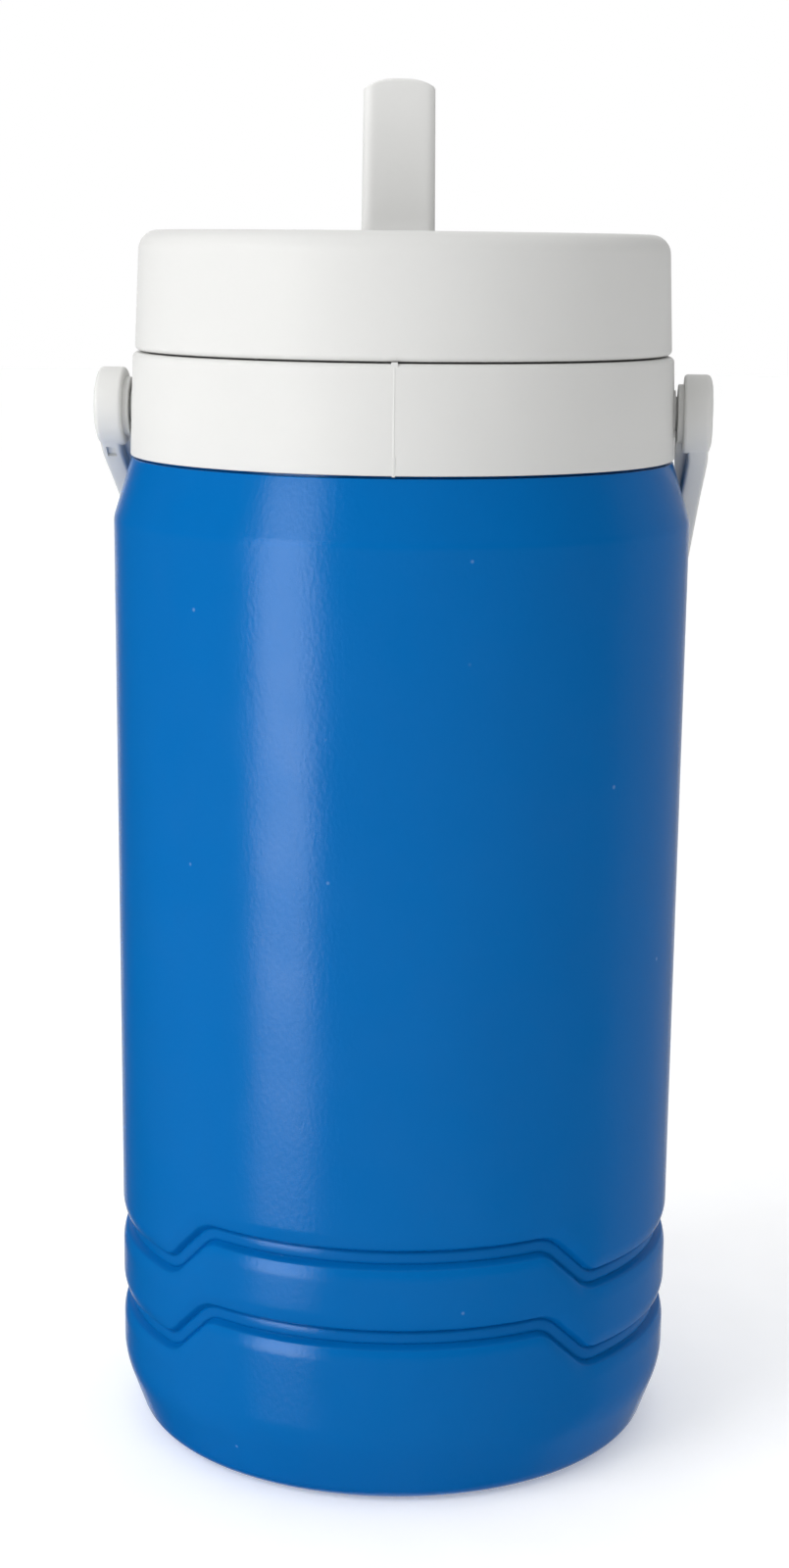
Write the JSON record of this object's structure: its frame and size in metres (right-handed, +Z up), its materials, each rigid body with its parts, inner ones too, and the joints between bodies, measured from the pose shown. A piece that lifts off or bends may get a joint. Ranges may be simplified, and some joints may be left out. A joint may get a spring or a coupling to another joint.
{
  "type": "insulated drinking jug",
  "caption": "Insulated half-gallon drinking jug with a blue foam-filled body, white screw lid, flip-up spout and swinging bail handle.",
  "frame": {"origin": "centre of the base where it meets the floor, on the jug's own axis", "axes": "+Z up along the jug's axis; the bail's pivots lie along X; the bail hangs behind the body, towards +Y"},
  "size_m": [0.1454, 0.1503, 0.3248],
  "materials": {
    "blue_shell": "satin, fine grain",
    "white_plastic": "satin",
    "spout_white": "satin",
    "liner_white": "smooth",
    "foam": "rigid foam",
    "seal_rubber": "matt"
  },
  "bodies": {
    "jug_body": {"outer_shell": "blue_shell", "base_plug": "blue_shell", "insulation_foam": "foam", "inner_liner": "liner_white", "collar": "white_plastic"},
    "bail": {"bail_handle": "white_plastic"},
    "lid_ring": {"lid_gasket": "seal_rubber"},
    "lid": {"lid_cover": "white_plastic", "lid_pan": "liner_white", "lid_foam": "foam", "port_tube": "liner_white", "spout_seal": "seal_rubber", "air_valve": "seal_rubber"},
    "spout": {"spout": "spout_white"}
  },
  "joints": [
    {"name": "bail_swing", "type": "hinge", "parent": "jug_body", "child": "bail", "pos_m": [0, 0, 0.2478], "axis": [1, 0, 0], "range_deg": [0, 259]},
    {"name": "lid_lift", "type": "slide", "parent": "jug_body", "child": "lid_ring", "axis": [0, 0, 1], "range_m": [0, 0.0181]},
    {"name": "lid_turn", "type": "hinge", "parent": "lid_ring", "child": "lid", "pos_m": [0, 0, 0.27], "axis": [0, 0, 1], "range_deg": [0, 540]},
    {"name": "spout_flip", "type": "hinge", "parent": "lid", "child": "spout", "pos_m": [-0.00314, 0.02076, 0.2826], "axis": [0.9888, 0.1495, 0], "range_deg": [0, 90]}
  ],
  "couplings": [
    {"joint": "lid_lift", "follows": "lid_turn", "m_per_rad": 0.0019099}
  ]
}
